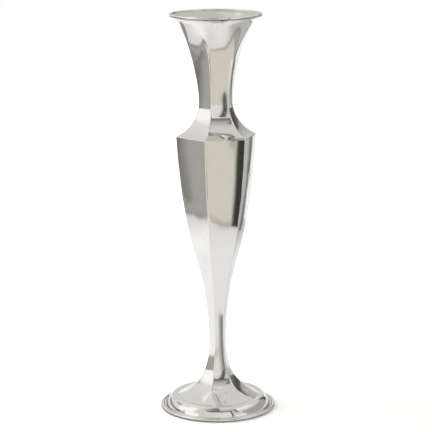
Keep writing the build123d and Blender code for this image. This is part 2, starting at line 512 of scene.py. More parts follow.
class Effect:
    """Shader node groups that several finishes share, each made once."""

    @staticmethod
    def _new(name: str, inputs: dict[str, float], outputs: tuple[str, ...]) -> MaterialBoard:
        """Makes an empty group with float sockets.

        Args:
            name: Name of the group.
            inputs: Input names and default values.
            outputs: Output names.

        Returns:
            The group's board.
        """
        tree = bpy.data.node_groups.new(name, "ShaderNodeTree")
        board = MaterialBoard(tree)
        for label, value in inputs.items():
            socket = tree.interface.new_socket(label, in_out="INPUT", socket_type="NodeSocketFloat")
            socket.default_value = value
        for label in outputs:
            tree.interface.new_socket(label, in_out="OUTPUT", socket_type="NodeSocketFloat")
        return board

    @classmethod
    def worn_polish(cls) -> bpy.types.NodeTree:
        """Makes or finds the group of smudges, fine scratches and pits on polished metal."""
        found = bpy.data.node_groups.get("worn_polish")
        if found:
            return found
        board = cls._new(
            "worn_polish",
            {"Smudge Size": 60.0, "Scratch Size": 900.0, "Pit Size": 280.0},
            ("Smudge", "Scratch", "Pit"),
        )
        entry = board.add("NodeGroupInput")
        leave = board.add("NodeGroupOutput")
        place = board.add("TexCoord").outputs["Object"]
        smudge = board.noise(place, entry.outputs["Smudge Size"], detail=4.0, distortion=0.6)
        board.join(board.ramp(smudge, 0.44, 0.72), leave.inputs["Smudge"])
        lines: list[bpy.types.NodeSocket] = []
        for turn in ((0.3, 0.2, 0.5), (-0.5, 0.9, -0.4)):
            mapping = board.add("Mapping")
            board.join(place, mapping.inputs["Vector"])
            mapping.inputs["Rotation"].default_value = turn
            mapping.inputs["Scale"].default_value = (1.0, 1.0, 0.03)
            strand = board.noise(mapping.outputs["Vector"], entry.outputs["Scratch Size"], detail=1.0)
            lines.append(board.ramp(strand, 0.66, 0.74))
        board.join(board.math("MAXIMUM", lines[0], lines[1]), leave.inputs["Scratch"])
        pit = board.add("TexVoronoi")
        board.join(place, pit.inputs["Vector"])
        board.join(entry.outputs["Pit Size"], pit.inputs["Scale"])
        near = board.ramp(pit.outputs["Distance"], 0.16, 0.06)
        chosen = board.ramp(board.noise(place, 95.0), 0.57, 0.63)
        board.join(board.math("MULTIPLY", near, chosen), leave.inputs["Pit"])
        return board.tree


@dataclass(frozen=True)
class SilverFinish:
    """Polished silver with soft tarnish, smudges, fine scratches and pits, painted shade in its creases and
    a duller, darker inside.
    """

    name: str
    clean: tuple[float, float, float] = (0.9, 0.89, 0.873)
    tarnish: tuple[float, float, float] = (0.6, 0.55, 0.46)
    tarnish_share: float = 0.07
    # Dark colour of the painted shade in creases, with some tarnish there, and of the grime in pits.
    shade_and_grime: tuple[float, float, float] = (0.17, 0.145, 0.11)
    crease_shade_share: float = 0.85
    inside_share: float = 0.4
    polish: float = 0.085
    dullness: float = 0.09
    smudge_size: float = 60.0

    def make(self) -> bpy.types.Material:
        """Builds the node material."""
        board = SurfaceBoard(self.name)
        worn = board.add("Group", node_tree=Effect.worn_polish())
        worn.inputs["Smudge Size"].default_value = self.smudge_size
        crease = board.add("Attribute", attribute_name="crease").outputs["Fac"]
        outside = board.add("Attribute", attribute_name="worked").outputs["Fac"]
        # Unworked faces, mostly the inside, turn darker and duller: partly tarnish of the unpolished sheet,
        # partly painted shade of the hollow.
        inside = board.math("MULTIPLY", board.math("SUBTRACT", 1.0, outside), self.inside_share)
        marks = board.math("MULTIPLY", worn.outputs["Smudge"], self.tarnish_share)
        marks = board.math("MAXIMUM", marks, inside)
        # Creases take painted shade, with some tarnish, and pits take grime; both move toward the dark
        # colour.
        shade_and_grime_share = board.math("MULTIPLY", crease, self.crease_shade_share)
        shade_and_grime_share = board.math("MAXIMUM", shade_and_grime_share, board.math("MULTIPLY", worn.outputs["Pit"], 0.6), clamp=True)
        colour = board.blend(marks, self.clean, self.tarnish)
        board.give("Base Color", board.blend(shade_and_grime_share, colour, self.shade_and_grime))
        board.give("Metallic", 1.0)
        rough = board.math("MULTIPLY", board.math("MAXIMUM", marks, shade_and_grime_share), self.dullness)
        rough = board.math("ADD", rough, self.polish)
        rough = board.math("ADD", rough, board.math("MULTIPLY", worn.outputs["Scratch"], 0.05))
        board.give("Roughness", rough)
        height = board.math("MULTIPLY", worn.outputs["Scratch"], -0.3)
        height = board.math("SUBTRACT", height, worn.outputs["Pit"])
        board.bump(height, strength=0.12, distance=0.00004)
        return board.material


@dataclass(frozen=True)
class PlainMetalFinish:
    """Unpolished inner metal: brass plug and plate, drawn steel rod."""

    name: str
    colour: tuple[float, float, float]
    dark: tuple[float, float, float]
    roughness: float = 0.32

    def make(self) -> bpy.types.Material:
        """Builds the node material."""
        board = SurfaceBoard(self.name)
        worn = board.add("Group", node_tree=Effect.worn_polish())
        worn.inputs["Smudge Size"].default_value = 140.0
        marks = board.math("MAXIMUM", worn.outputs["Smudge"], worn.outputs["Pit"])
        board.give("Base Color", board.blend(marks, self.colour, self.dark))
        board.give("Metallic", 1.0)
        rough = board.math("MULTIPLY", worn.outputs["Smudge"], 0.2)
        board.give("Roughness", board.math("ADD", rough, self.roughness))
        board.bump(worn.outputs["Scratch"], strength=0.3, distance=0.00005)
        return board.material


@dataclass(frozen=True)
class PitchFinish:
    """Dark poured pitch with a slight set skin."""

    name: str = "pitch"
    dark: tuple[float, float, float] = (0.045, 0.035, 0.03)
    light: tuple[float, float, float] = (0.1, 0.085, 0.07)

    def make(self) -> bpy.types.Material:
        """Builds the node material."""
        board = SurfaceBoard(self.name)
        place = board.add("TexCoord").outputs["Object"]
        grain = board.noise(place, 180.0, detail=5.0)
        board.give("Base Color", board.blend(grain, self.dark, self.light))
        board.give("Roughness", board.math("ADD", board.math("MULTIPLY", grain, 0.3), 0.3))
        board.bump(grain, strength=0.4, distance=0.0003)
        return board.material


@dataclass(frozen=True)
class BaizeFinish:
    """Green felt: matted wool fibres with a little lint."""

    name: str = "baize"
    dark: tuple[float, float, float] = (0.012, 0.05, 0.028)
    light: tuple[float, float, float] = (0.05, 0.17, 0.095)
    faded: tuple[float, float, float] = (0.12, 0.2, 0.13)

    def make(self) -> bpy.types.Material:
        """Builds the node material."""
        board = SurfaceBoard(self.name)
        place = board.add("TexCoord").outputs["Object"]
        fibre = board.noise(place, 1400.0, detail=6.0, distortion=1.5)
        patch = board.ramp(board.noise(place, 60.0, detail=3.0), 0.45, 0.75)
        wool = board.blend(fibre, self.dark, self.light)
        board.give("Base Color", board.blend(board.math("MULTIPLY", patch, 0.3), wool, self.faded))
        board.give("Roughness", 0.95)
        board.give("Sheen Weight", 0.5)
        board.give("Sheen Roughness", 0.4)
        board.bump(fibre, strength=0.8, distance=0.0003)
        return board.material


def place_mesh(name: str, mesh: bmesh.types.BMesh, material: bpy.types.Material) -> bpy.types.Object:
    """Puts a finished mesh in the scene.

    Args:
        name: Name of the object.
        mesh: Its mesh, which is freed.
        material: Its material.

    Returns:
        The object.
    """
    data = bpy.data.meshes.new(name)
    mesh.to_mesh(data)
    mesh.free()
    data.materials.append(material)
    thing = bpy.data.objects.new(name, data)
    bpy.context.scene.collection.objects.link(thing)
    return thing


@dataclass
class Piece:
    """Visible piece of the vase: its object's name, the CAD node it stands for and its slot."""

    finish: bpy.types.Material
    name: str = ""
    node: str = ""
    slot: Slot = Slot.SHEET
    sharp_angle: float = 38.0

    def dress(self, mesh: bmesh.types.BMesh) -> bpy.types.Object:
        """Turns the mesh into a piece with its finish, riding on the frame.

        Args:
            mesh: Finished mesh, which is freed.

        Returns:
            The piece.
        """
        for face in mesh.faces:
            face.smooth = True
        piece = place_mesh(self.name, mesh, self.finish)
        piece.data.set_sharp_from_angle(angle=math.radians(self.sharp_angle))
        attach(piece, "root")
        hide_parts(self.node)
        log.info("%s: %d faces", self.name, len(piece.data.polygons))
        return piece


@dataclass
class SilverPiece(Piece):
    """Piece of the vase that is spun from a half section and pressed into panels."""

    lines: VaseLines = VaseLines()
    hand_work: HandWork = HandWork()

    def profile(self) -> list[ProfilePoint]:
        """Gives the closed half section, in order."""
        raise NotImplementedError

    def crease(self, place: Vector) -> float:
        """Says how much a hollow at a place is darkened, from 0 to 1: painted shade, with polish and
        tarnish in some hollows.
        """
        return 0.0

    def calm(self, level: float) -> float:
        """Says how much of the hand work shows at a level: none at the seams."""
        return 1.0

    def run(
        self, curve: ArrisCurve, first: float, last: float, count: int, wall: Wall
    ) -> list[ProfilePoint]:
        """Samples part of an arris curve.

        Args:
            curve: Curve to follow.
            first: Share of the curve at the first point.
            last: Share of the curve at the last point.
            count: Number of points.
            wall: Side of the sheet.

        Returns:
            The points in order.
        """
        points = []
        for index in range(count):
            share = first + (last - first) * index / (count - 1)
            radius, level = curve.at(share)
            steep = max(curve.tangent(share)[1], 0.2)
            inset = wall.value * self.lines.wall / steep
            points.append(
                ProfilePoint(radius, level, self.lines.rounded(level), inset, worked=wall is Wall.OUTSIDE)
            )
        return points

    def build(self) -> bpy.types.Object:
        """Spins the half section, presses the panels, works the sheet and dresses it.

        Returns:
            The finished piece.
        """
        mesh = bmesh.new()
        labels = ("radius", "rounded", "inset", "worked", "crease")
        keep = {label: mesh.verts.layers.float.new(label) for label in labels}
        chain = []
        for point in self.profile():
            vert = mesh.verts.new(((point.radius - point.inset) * MM, 0.0, point.level * MM))
            vert[keep["radius"]] = point.radius
            vert[keep["rounded"]] = point.rounded
            vert[keep["inset"]] = point.inset
            vert[keep["worked"]] = float(point.worked)
            chain.append(vert)
        edges = [mesh.edges.new(pair) for pair in zip(chain, chain[1:] + chain[:1])]
        plan = self.lines.plan
        bmesh.ops.spin(
            mesh,
            geom=chain + edges,
            cent=(0.0, 0.0, 0.0),
            axis=(0.0, 0.0, 1.0),
            angle=math.tau,
            steps=plan.slots,
            use_merge=True,
        )
        for vert in mesh.verts:
            turn = math.atan2(vert.co.y, vert.co.x) / math.tau * plan.slots
            across, along = plan.point(
                round(turn) % plan.slots, vert[keep["radius"]], vert[keep["rounded"]], vert[keep["inset"]]
            )
            vert.co.x = across * MM
            vert.co.y = along * MM
        bmesh.ops.remove_doubles(mesh, verts=mesh.verts, dist=1e-7)
        bmesh.ops.recalc_face_normals(mesh, faces=mesh.faces)
        mesh.normal_update()
        lifts = [
            (vert, vert.normal * self.hand_work.lift(vert.co) * self.calm(vert.co.z / MM) * MM)
            for vert in mesh.verts
            if vert[keep["worked"]] > 0.5
        ]
        for vert, lift in lifts:
            vert.co += lift
        for vert in mesh.verts:
            # Each worked point keeps how far its hollow is darkened, mostly by painted shade.
            vert[keep["crease"]] = self.crease(vert.co / MM) * vert[keep["worked"]]
        return self.dress(mesh)


@dataclass
class TrumpetNeck(SilverPiece):
    """Cove, waist and trumpet in one sheet, panelled at the shoulder and round at the lip."""

    name: str = "neck_sheet"
    node: str = "trumpet_neck"
    lip_radius: float = 39.0
    lip_level: float = 348.7

    def lip(self, start: float, end_level: float, count: int, wall: Wall) -> list[ProfilePoint]:
        """Sweeps the lip outwards from the throat to the mouth wire.

        Args:
            start: Radius at the throat.
            end_level: Level at the wire.
            count: Number of points.
            wall: Side of the sheet.

        Returns:
            The points from the throat outwards, without the throat's own.
        """
        lean = math.radians(self.lines.throat_lean)
        run = self.lip_radius - start
        rise = end_level - self.lines.throat[1]
        bend = 2 * (math.atan2(run, rise) - lean)
        size = math.hypot(run, rise) / 2 / math.sin(bend / 2)
        points = []
        for index in range(1, count + 1):
            angle = lean + bend * index / count
            points.append(
                ProfilePoint(
                    start + size * (math.cos(lean) - math.cos(angle)),
                    self.lines.throat[1] + size * (math.sin(angle) - math.sin(lean)),
                    worked=wall is Wall.OUTSIDE,
                )
            )
        return points

    def profile(self) -> list[ProfilePoint]:
        """Gives the closed half section: up the outside, over the lip and down the inside."""
        lines = self.lines
        seam = [ProfilePoint(*place, rounded=0.0) for place in lines.seam(0.5, 1.0, 6)]
        outside = self.run(lines.cove, lines.cove_start, 1.0, 56, Wall.OUTSIDE)[1:]
        outside += self.run(lines.trumpet, 0.0, 1.0, 96, Wall.OUTSIDE)[1:]
        outside += self.lip(lines.throat[0], self.lip_level - lines.wall / 2, 14, Wall.OUTSIDE)
        bore = lines.throat[0] - lines.wall / math.cos(math.radians(lines.throat_lean))
        over = self.lip(bore, self.lip_level + lines.wall / 2, 14, Wall.INSIDE)
        inside = self.run(lines.trumpet, 1.0, 0.0, 64, Wall.INSIDE)
        inside += self.run(lines.cove, 1.0, 0.04, 30, Wall.INSIDE)[1:]
        return [*seam, *outside, *reversed(over), *inside]

    def calm(self, level: float) -> float:
        """Keeps the seam at the shoulder and the lip at the wire true."""
        low = held((level - self.lines.shoulder[1]) / 3.0)
        high = held((self.lip_level - 0.4 - level) / 4.0)
        return low * high

    def crease(self, place: Vector) -> float:
        """Paints shade under the wire."""
        return math.exp(-(((place.z - self.lip_level + 1.4) / 0.9) ** 2))


@dataclass
class PanelledBody(SilverPiece):
    """Six tall panels from the joint in the stem up to the shoulder."""

    name: str = "body_sheet"
    node: str = "body_shell"

    def profile(self) -> list[ProfilePoint]:
        """Gives the closed half section: up the outside and down the inside."""
        lines = self.lines
        outside = self.run(lines.lower_body, 0.0, 1.0, 60, Wall.OUTSIDE)
        outside += self.run(lines.upper_body, 0.0, lines.body_end, 116, Wall.OUTSIDE)[1:]
        seam = [ProfilePoint(*place, rounded=0.0) for place in lines.seam(0.0, 0.5, 6)[1:]]
        inside = self.run(lines.upper_body, 0.99, 0.0, 30, Wall.INSIDE)
        inside += self.run(lines.lower_body, 1.0, 0.0, 24, Wall.INSIDE)[1:]
        return [*outside, *seam, *inside]

    def calm(self, level: float) -> float:
        """Keeps the seams at the shoulder and in the stem true."""
        low = held((level - self.lines.joint[1]) / 4.0)
        high = held((self.lines.shoulder[1] - level) / 3.0)
        return low * high


@dataclass
class WeightedFoot(SilverPiece):
    """Panelled flare, crease, rounded band and flat rim of the foot."""

    name: str = "foot_sheet"
    node: str = "foot_shell"
    band_radius: float = 45.6
    crest: tuple[float, float] = (39.3, 11.45)
    crest_firmness: float = 1.18
    rim_radius: float = 50.3
    rim_lift: float = 0.3
    rim_ledge: float = 2.4
    band_steps: int = 24
    crest_steps: int = 8

    def band(self, wall: Wall) -> list[ProfilePoint]:
        """Follows the rounded band from its foot up over the crest to the crease.

        Args:
            wall: Side of the sheet.

        Returns:
            The points from the foot of the band to the crease.
        """
        lines = self.lines
        rim_top = self.rim_lift + lines.wall
        inset = wall.value * lines.wall
        places = []
        for index in range(self.band_steps + 1):
            angle = math.pi / 2 * index / self.band_steps
            across = max(math.cos(angle), 0.0) ** self.crest_firmness
            up = math.sin(angle) ** self.crest_firmness
            places.append(
                (
                    self.crest[0] + (self.band_radius - inset - self.crest[0]) * across,
                    rim_top + (self.crest[1] - inset - rim_top) * up,
                )
            )
        run = self.crest[0] - lines.valley[0]
        drop = self.crest[1] - lines.valley[1]
        size = (run * run + drop * drop) / 2 / drop
        bend = math.asin(run / size)
        for index in range(1, self.crest_steps + 1):
            angle = bend * index / self.crest_steps
            fall = size * (1 - math.cos(angle))
            places.append((self.crest[0] - size * math.sin(angle), self.crest[1] - inset - fall))
        return [ProfilePoint(*place, worked=wall is Wall.OUTSIDE) for place in places]

    def profile(self) -> list[ProfilePoint]:
        """Gives the closed half section: down the outside, under the rim and up the inside."""
        lines = self.lines
        rim_top = self.rim_lift + lines.wall
        outside = self.run(lines.flare, 1.0, 0.0, 90, Wall.OUTSIDE)
        outside += reversed(self.band(Wall.OUTSIDE)[:-1])
        corners = (
            (self.band_radius + self.rim_ledge, rim_top),
            (self.rim_radius, rim_top),
            (self.rim_radius, self.rim_lift),
            (self.band_radius + self.rim_ledge, self.rim_lift),
            (self.band_radius - lines.wall, self.rim_lift),
        )
        rim = [ProfilePoint(*corner, worked=False) for corner in corners]
        inside = self.run(lines.flare, 0.02, 1.0, 30, Wall.INSIDE)
        return [*outside, *rim, *self.band(Wall.INSIDE)[:-1], *inside]

    def calm(self, level: float) -> float:
        """Keeps the seam in the stem and the rim under the border true."""
        low = held((level - 1.6) / 3.0)
        high = held((self.lines.joint[1] - level) / 4.0)
        return low * high

    def crease(self, place: Vector) -> float:
        """Darkens the crease of the valley with painted shade and some tarnish, and darkens the corner
        beside the border.
        """
        reach = math.hypot(place.x, place.y)
        valley = math.hypot(reach - self.lines.valley[0], place.z - self.lines.valley[1])
        strip = math.hypot(reach - self.band_radius - 0.2, place.z - 1.2)
        return min(0.12 * math.exp(-((valley / 0.6) ** 2)) + 0.7 * math.exp(-((strip / 0.7) ** 2)), 1.0)


@dataclass
class ReededBorder(SilverPiece):
    """Drawn strip of a wide and a thin reed on the flat rim."""

    name: str = "reeded_border"
    node: str = "foot_reeding"
    slot: Slot = Slot.WIRE
    foot_radius: float = 51.0
    outer_reed: float = 1.45
    inner_reed: float = 0.95
    reed_lift: float = 1.0
    rim_top: float = 1.1
    heel_share: float = 0.92

    def reed(self, centre: float, size: float, first: float, last: float, count: int) -> list[ProfilePoint]:
        """Follows part of one reed.

        Args:
            centre: Radius of the reed's middle.
            size: Radius of the reed's section.
            first: Angle of the first point in degrees from the outside, upwards.
            last: Angle of the last point.
            count: Number of points.

        Returns:
            The points in order.
        """
        points = []
        for index in range(count):
            angle = math.radians(first + (last - first) * index / (count - 1))
            points.append(
                ProfilePoint(
                    centre + size * math.cos(angle), self.rim_top + self.reed_lift + size * math.sin(angle)
                )
            )
        return points

    def profile(self) -> list[ProfilePoint]:
        """Gives the closed half section: over both reeds and back along the rim."""
        outer = self.foot_radius - self.outer_reed
        inner = outer - self.outer_reed - self.inner_reed
        foot = math.degrees(math.asin(self.reed_lift / self.outer_reed))
        wide = self.reed(outer, self.outer_reed, -foot, 172.0, 22)
        thin = self.reed(inner, self.inner_reed, 8.0, 180.0, 14)
        heel = ProfilePoint(inner - self.inner_reed * self.heel_share, self.rim_top)
        return [*wide, *thin, heel]

    def calm(self, level: float) -> float:
        """Keeps the strip true on the rim."""
        return held((level - self.rim_top) / 1.5)

    def crease(self, place: Vector) -> float:
        """Darkens the groove between the reeds and their foot on the rim."""
        reach = math.hypot(place.x, place.y)
        groove = self.foot_radius - 2 * self.outer_reed
        between = math.exp(-(((reach - groove) / 0.35) ** 2) - ((place.z - 2.0) / 0.9) ** 2)
        return min(between + math.exp(-(((place.z - self.rim_top) / 0.5) ** 2)), 1.0)


@dataclass
class MouthWire(SilverPiece):
    """Round wire on the edge of the lip."""

    name: str = "mouth_bead"
    node: str = "mouth_wire"
    slot: Slot = Slot.WIRE
    ring_radius: float = 39.0
    wire_radius: float = 1.3
    level: float = 348.7
    section_points: int = 28

    def profile(self) -> list[ProfilePoint]:
        """Gives the wire's round section."""
        points = []
        for index in range(self.section_points):
            angle = math.tau * index / self.section_points
            points.append(
                ProfilePoint(
                    self.ring_radius + self.wire_radius * math.cos(angle),
                    self.level + self.wire_radius * math.sin(angle),
                )
            )
        return points

    def calm(self, level: float) -> float:
        """Keeps the wire's outline within the mouth."""
        return 0.5

    def crease(self, place: Vector) -> float:
        """Paints shade where the wire meets the lip, most of all underneath."""
        inward = (self.ring_radius - math.hypot(place.x, place.y)) / self.wire_radius
        under = (self.level - place.z) / self.wire_radius
        return held(max(0.2 * (inward - 0.6), 2.4 * (under - 0.22)))


@dataclass
class BaizePad(Piece):
    """Felt disc on which the vase stands, cut a little unevenly and compressed under the rim."""

    name: str = "baize_disc"
    node: str = "baize_pad"
    slot: Slot = Slot.BAIZE
    sharp_angle: float = 50.0
    radius: float = 44.4
    thickness: float = 0.9
    ring_widths: tuple[float, ...] = (0.6, 1.6, 5.0, 9.0, 11.0, 9.0)
    segments: int = 160
    fray: float = 0.14
    trim: float = 0.12
    hollow: float = 0.06
    edge_lift: float = 0.16
    edge_width: float = 1.2

    def build(self) -> bpy.types.Object:
        """Cuts, thickens and frays the disc.

        Returns:
            The finished piece.
        """
        mesh = bmesh.new()
        bmesh.ops.create_circle(mesh, cap_ends=True, segments=self.segments, radius=self.radius * MM)
        for width in self.ring_widths:
            middle = [face for face in mesh.faces if len(face.verts) > 4]
            bmesh.ops.inset_region(mesh, faces=middle, thickness=width * MM, use_even_offset=True)
        lower = list(mesh.faces)
        grown = bmesh.ops.extrude_face_region(mesh, geom=lower, use_keep_orig=True)
        raised = [item for item in grown["geom"] if isinstance(item, bmesh.types.BMVert)]
        bmesh.ops.translate(mesh, verts=raised, vec=(0.0, 0.0, self.thickness * MM))
        bmesh.ops.recalc_face_normals(mesh, faces=mesh.faces)
        for vert in mesh.verts:
            reach = math.hypot(vert.co.x, vert.co.y) / MM
            fray = noise.noise(vert.co / MM * 1.7) * self.fray
            if reach > self.radius - 0.3:
                pull = 1.0 - (self.trim - fray) / self.radius
                vert.co.x *= pull
                vert.co.y *= pull
            hollow = self.hollow * (0.5 + 0.5 * noise.noise(vert.co / MM * 0.35))
            if vert.co.z < 0.5 * self.thickness * MM:
                edge = held((self.radius - reach) / self.edge_width)
                vert.co.z = (hollow * edge + self.edge_lift * (1.0 - edge)) * MM
        low = min(vert.co.z for vert in mesh.verts)
        for vert in mesh.verts:
            if vert.co.z < 0.5 * self.thickness * MM:
                vert.co.z -= low
        piece = self.dress(mesh)
        return piece


@dataclass(frozen=True)
class PhotoCamera:
    """Camera at the photograph's viewing angle, in metres and degrees."""

    azimuth: float = -14.66
    reach: float = 1.5069
    height: float = 0.49188
    pitch: float = 11.956
    roll: float = -0.361
    yaw: float = 0.03
    lens: float = 146.81
    sensor_width: float = 36.0

    def place(self) -> bpy.types.Object:
        """Makes the camera and hands it to the scene.

        Returns:
            The camera object.
        """
        turn = math.radians(self.azimuth)
        spin = Matrix.Rotation(math.radians(self.azimuth + self.yaw), 4, "Z")
        tilt = Matrix.Rotation(math.radians(90.0 - self.pitch), 4, "X")
        roll = Matrix.Rotation(math.radians(self.roll), 4, "Z")
        data = bpy.data.cameras.new("photo_camera")
        data.lens = self.lens
        data.sensor_width = self.sensor_width
        camera = bpy.data.objects.new("photo_camera", data)
        spot = Vector((self.reach * math.sin(turn), -self.reach * math.cos(turn), self.height))
        camera.matrix_world = Matrix.Translation(spot) @ spin @ tilt @ roll
        bpy.context.scene.collection.objects.link(camera)
        bpy.context.scene.camera = camera
        return camera


class Tone(Enum):
    """Plain tones of the studio, as linear colour."""

    WINDOW = (1.04, 1.04, 1.05)
    WHITE = (0.95, 0.95, 0.94)
    PALE = (0.8, 0.795, 0.77)
    # Paper tones with painted light and shade: brighter towards the window, darker at the front, the far
    # left and the right.
    BRIGHT_PAPER = (0.99, 0.99, 1.0)
    PAPER = (0.85, 0.85, 0.845)
    SHADED_PAPER = (0.76, 0.76, 0.75)
    DIM_PAPER = (0.5, 0.5, 0.49)
    SAND = (0.67, 0.645, 0.565)
    ROOM = (0.67, 0.66, 0.63)
    GREY = (0.4, 0.39, 0.365)
    SHADE = (0.3, 0.29, 0.27)
    DUSK = (0.17, 0.166, 0.155)
    DARK = (0.04, 0.039, 0.037)


@dataclass(frozen=True)
class Card:
    """Studio card swept round the vase, mirrored in the silver and seen nowhere else.

    Its section is given by distances from the vase's axis and heights in metres, and its ends by
    degrees to the right of the camera. The tone changes evenly to the end tone at the second end,
    and along the section to the last tone, where these are given. A card that tapers has other ends
    at the end of its section.
    """

    name: str
    ends: tuple[float, float]
    section: tuple[tuple[float, float], ...]
    tone: Tone
    end_tone: Tone | None = None
    last_tone: Tone | None = None
    last_ends: tuple[float, float] | None = None
    steps: int = 24

    def mesh(self, camera_azimuth: float) -> bmesh.types.BMesh:
        """Sweeps the section from the first end to the second.

        Args:
            camera_azimuth: Azimuth of the camera in degrees.

        Returns:
            The card's mesh, with its tones in a colour layer.
        """
        mesh = bmesh.new()
        tone = mesh.verts.layers.float_color.new("tone")
        along = mesh.verts.layers.float.new("along")
        turn = math.radians(self.ends[0] + camera_azimuth)
        aim = Vector((math.sin(turn), -math.cos(turn), 0.0))
        chain = [mesh.verts.new(aim * reach + Vector((0.0, 0.0, height))) for reach, height in self.section]
        for index, vert in enumerate(chain):
            vert[along] = index / (len(chain) - 1)
        edges = [mesh.edges.new(pair) for pair in zip(chain, chain[1:])]
        sweep = math.radians(self.ends[1] - self.ends[0])
        bmesh.ops.spin(
            mesh,
            geom=chain + edges,
            cent=(0.0, 0.0, 0.0),
            axis=(0.0, 0.0, 1.0),
            angle=sweep,
            steps=self.steps,
        )
        low, high = Vector(self.tone.value), Vector((self.end_tone or self.tone).value)
        for vert in mesh.verts:
            swept = (math.atan2(vert.co.x, -vert.co.y) - turn + 1e-6) % math.tau
            share = min(swept / sweep, 1.0)
            shade = low.lerp(high, share)
            if self.last_tone:
                shade = shade.lerp(Vector(self.last_tone.value), vert[along])
            vert[tone] = (*shade, 1.0)
            if self.last_ends:
                start, stop = Vector(self.ends).lerp(Vector(self.last_ends), vert[along])
                angle = math.radians(start + (stop - start) * share + camera_azimuth)
                reach = math.hypot(vert.co.x, vert.co.y)
                vert.co.x = reach * math.sin(angle)
                vert.co.y = -reach * math.cos(angle)
        return mesh


